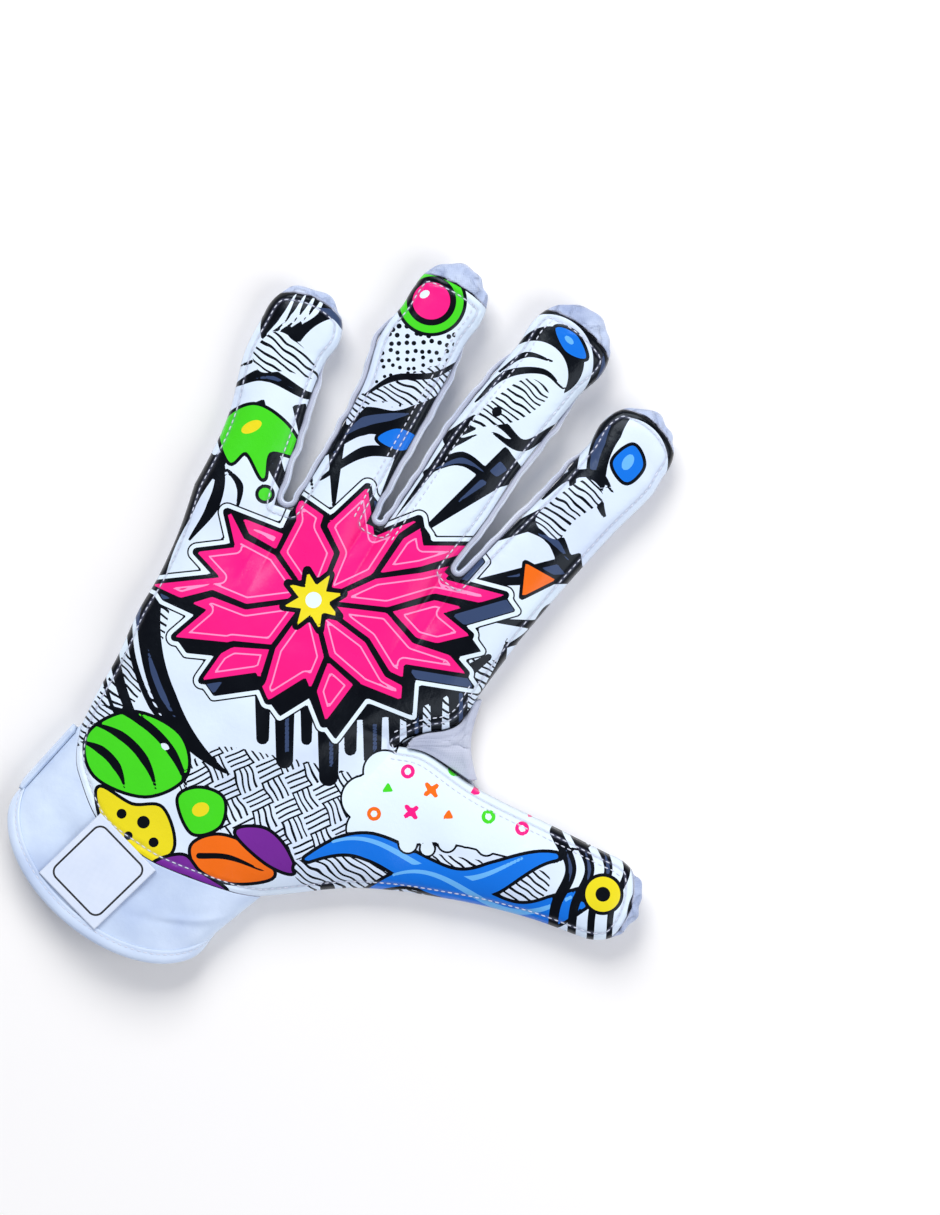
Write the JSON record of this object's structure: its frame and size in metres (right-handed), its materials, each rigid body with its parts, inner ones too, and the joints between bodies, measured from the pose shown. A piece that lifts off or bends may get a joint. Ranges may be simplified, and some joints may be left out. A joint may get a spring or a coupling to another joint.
{
  "type": "football receiver glove",
  "caption": "Right-hand sport glove lying palm up: printed palm with finger strips, mesh thumb web and a pull-on cuff.",
  "frame": {"origin": "on the flat underside of the glove's back, below the middle of the palm", "axes": "+Y from the wrist to the fingers, +X to the thumb, +Z out of the palm"},
  "size_m": [0.2019, 0.2404, 0.0177],
  "materials": {
    "printed_palm": "glossy tacky coating on printed synthetic leather",
    "back_fabric": "smooth pale blue stretch knit",
    "side_strip": "silvery pale blue stretch knit",
    "web_mesh": "silver grey open mesh",
    "cuff": "smooth white moulded band",
    "binding": "white folded edge tape with a stitch row",
    "label": "white satin patch with a plain printed frame line",
    "strap": "white smooth strap"
  },
  "bodies": {
    "root": {"palm_panel": "printed_palm", "back_panel": "back_fabric", "fourchette_pinky_ring": "side_strip", "fourchette_ring_middle": "side_strip", "fourchette_middle_index": "side_strip", "web_gusset": "web_mesh", "cuff_band": "cuff", "cuff_binding": "binding", "label_patch": "label", "wrist_strap": "strap"}
  },
  "joints": []
}
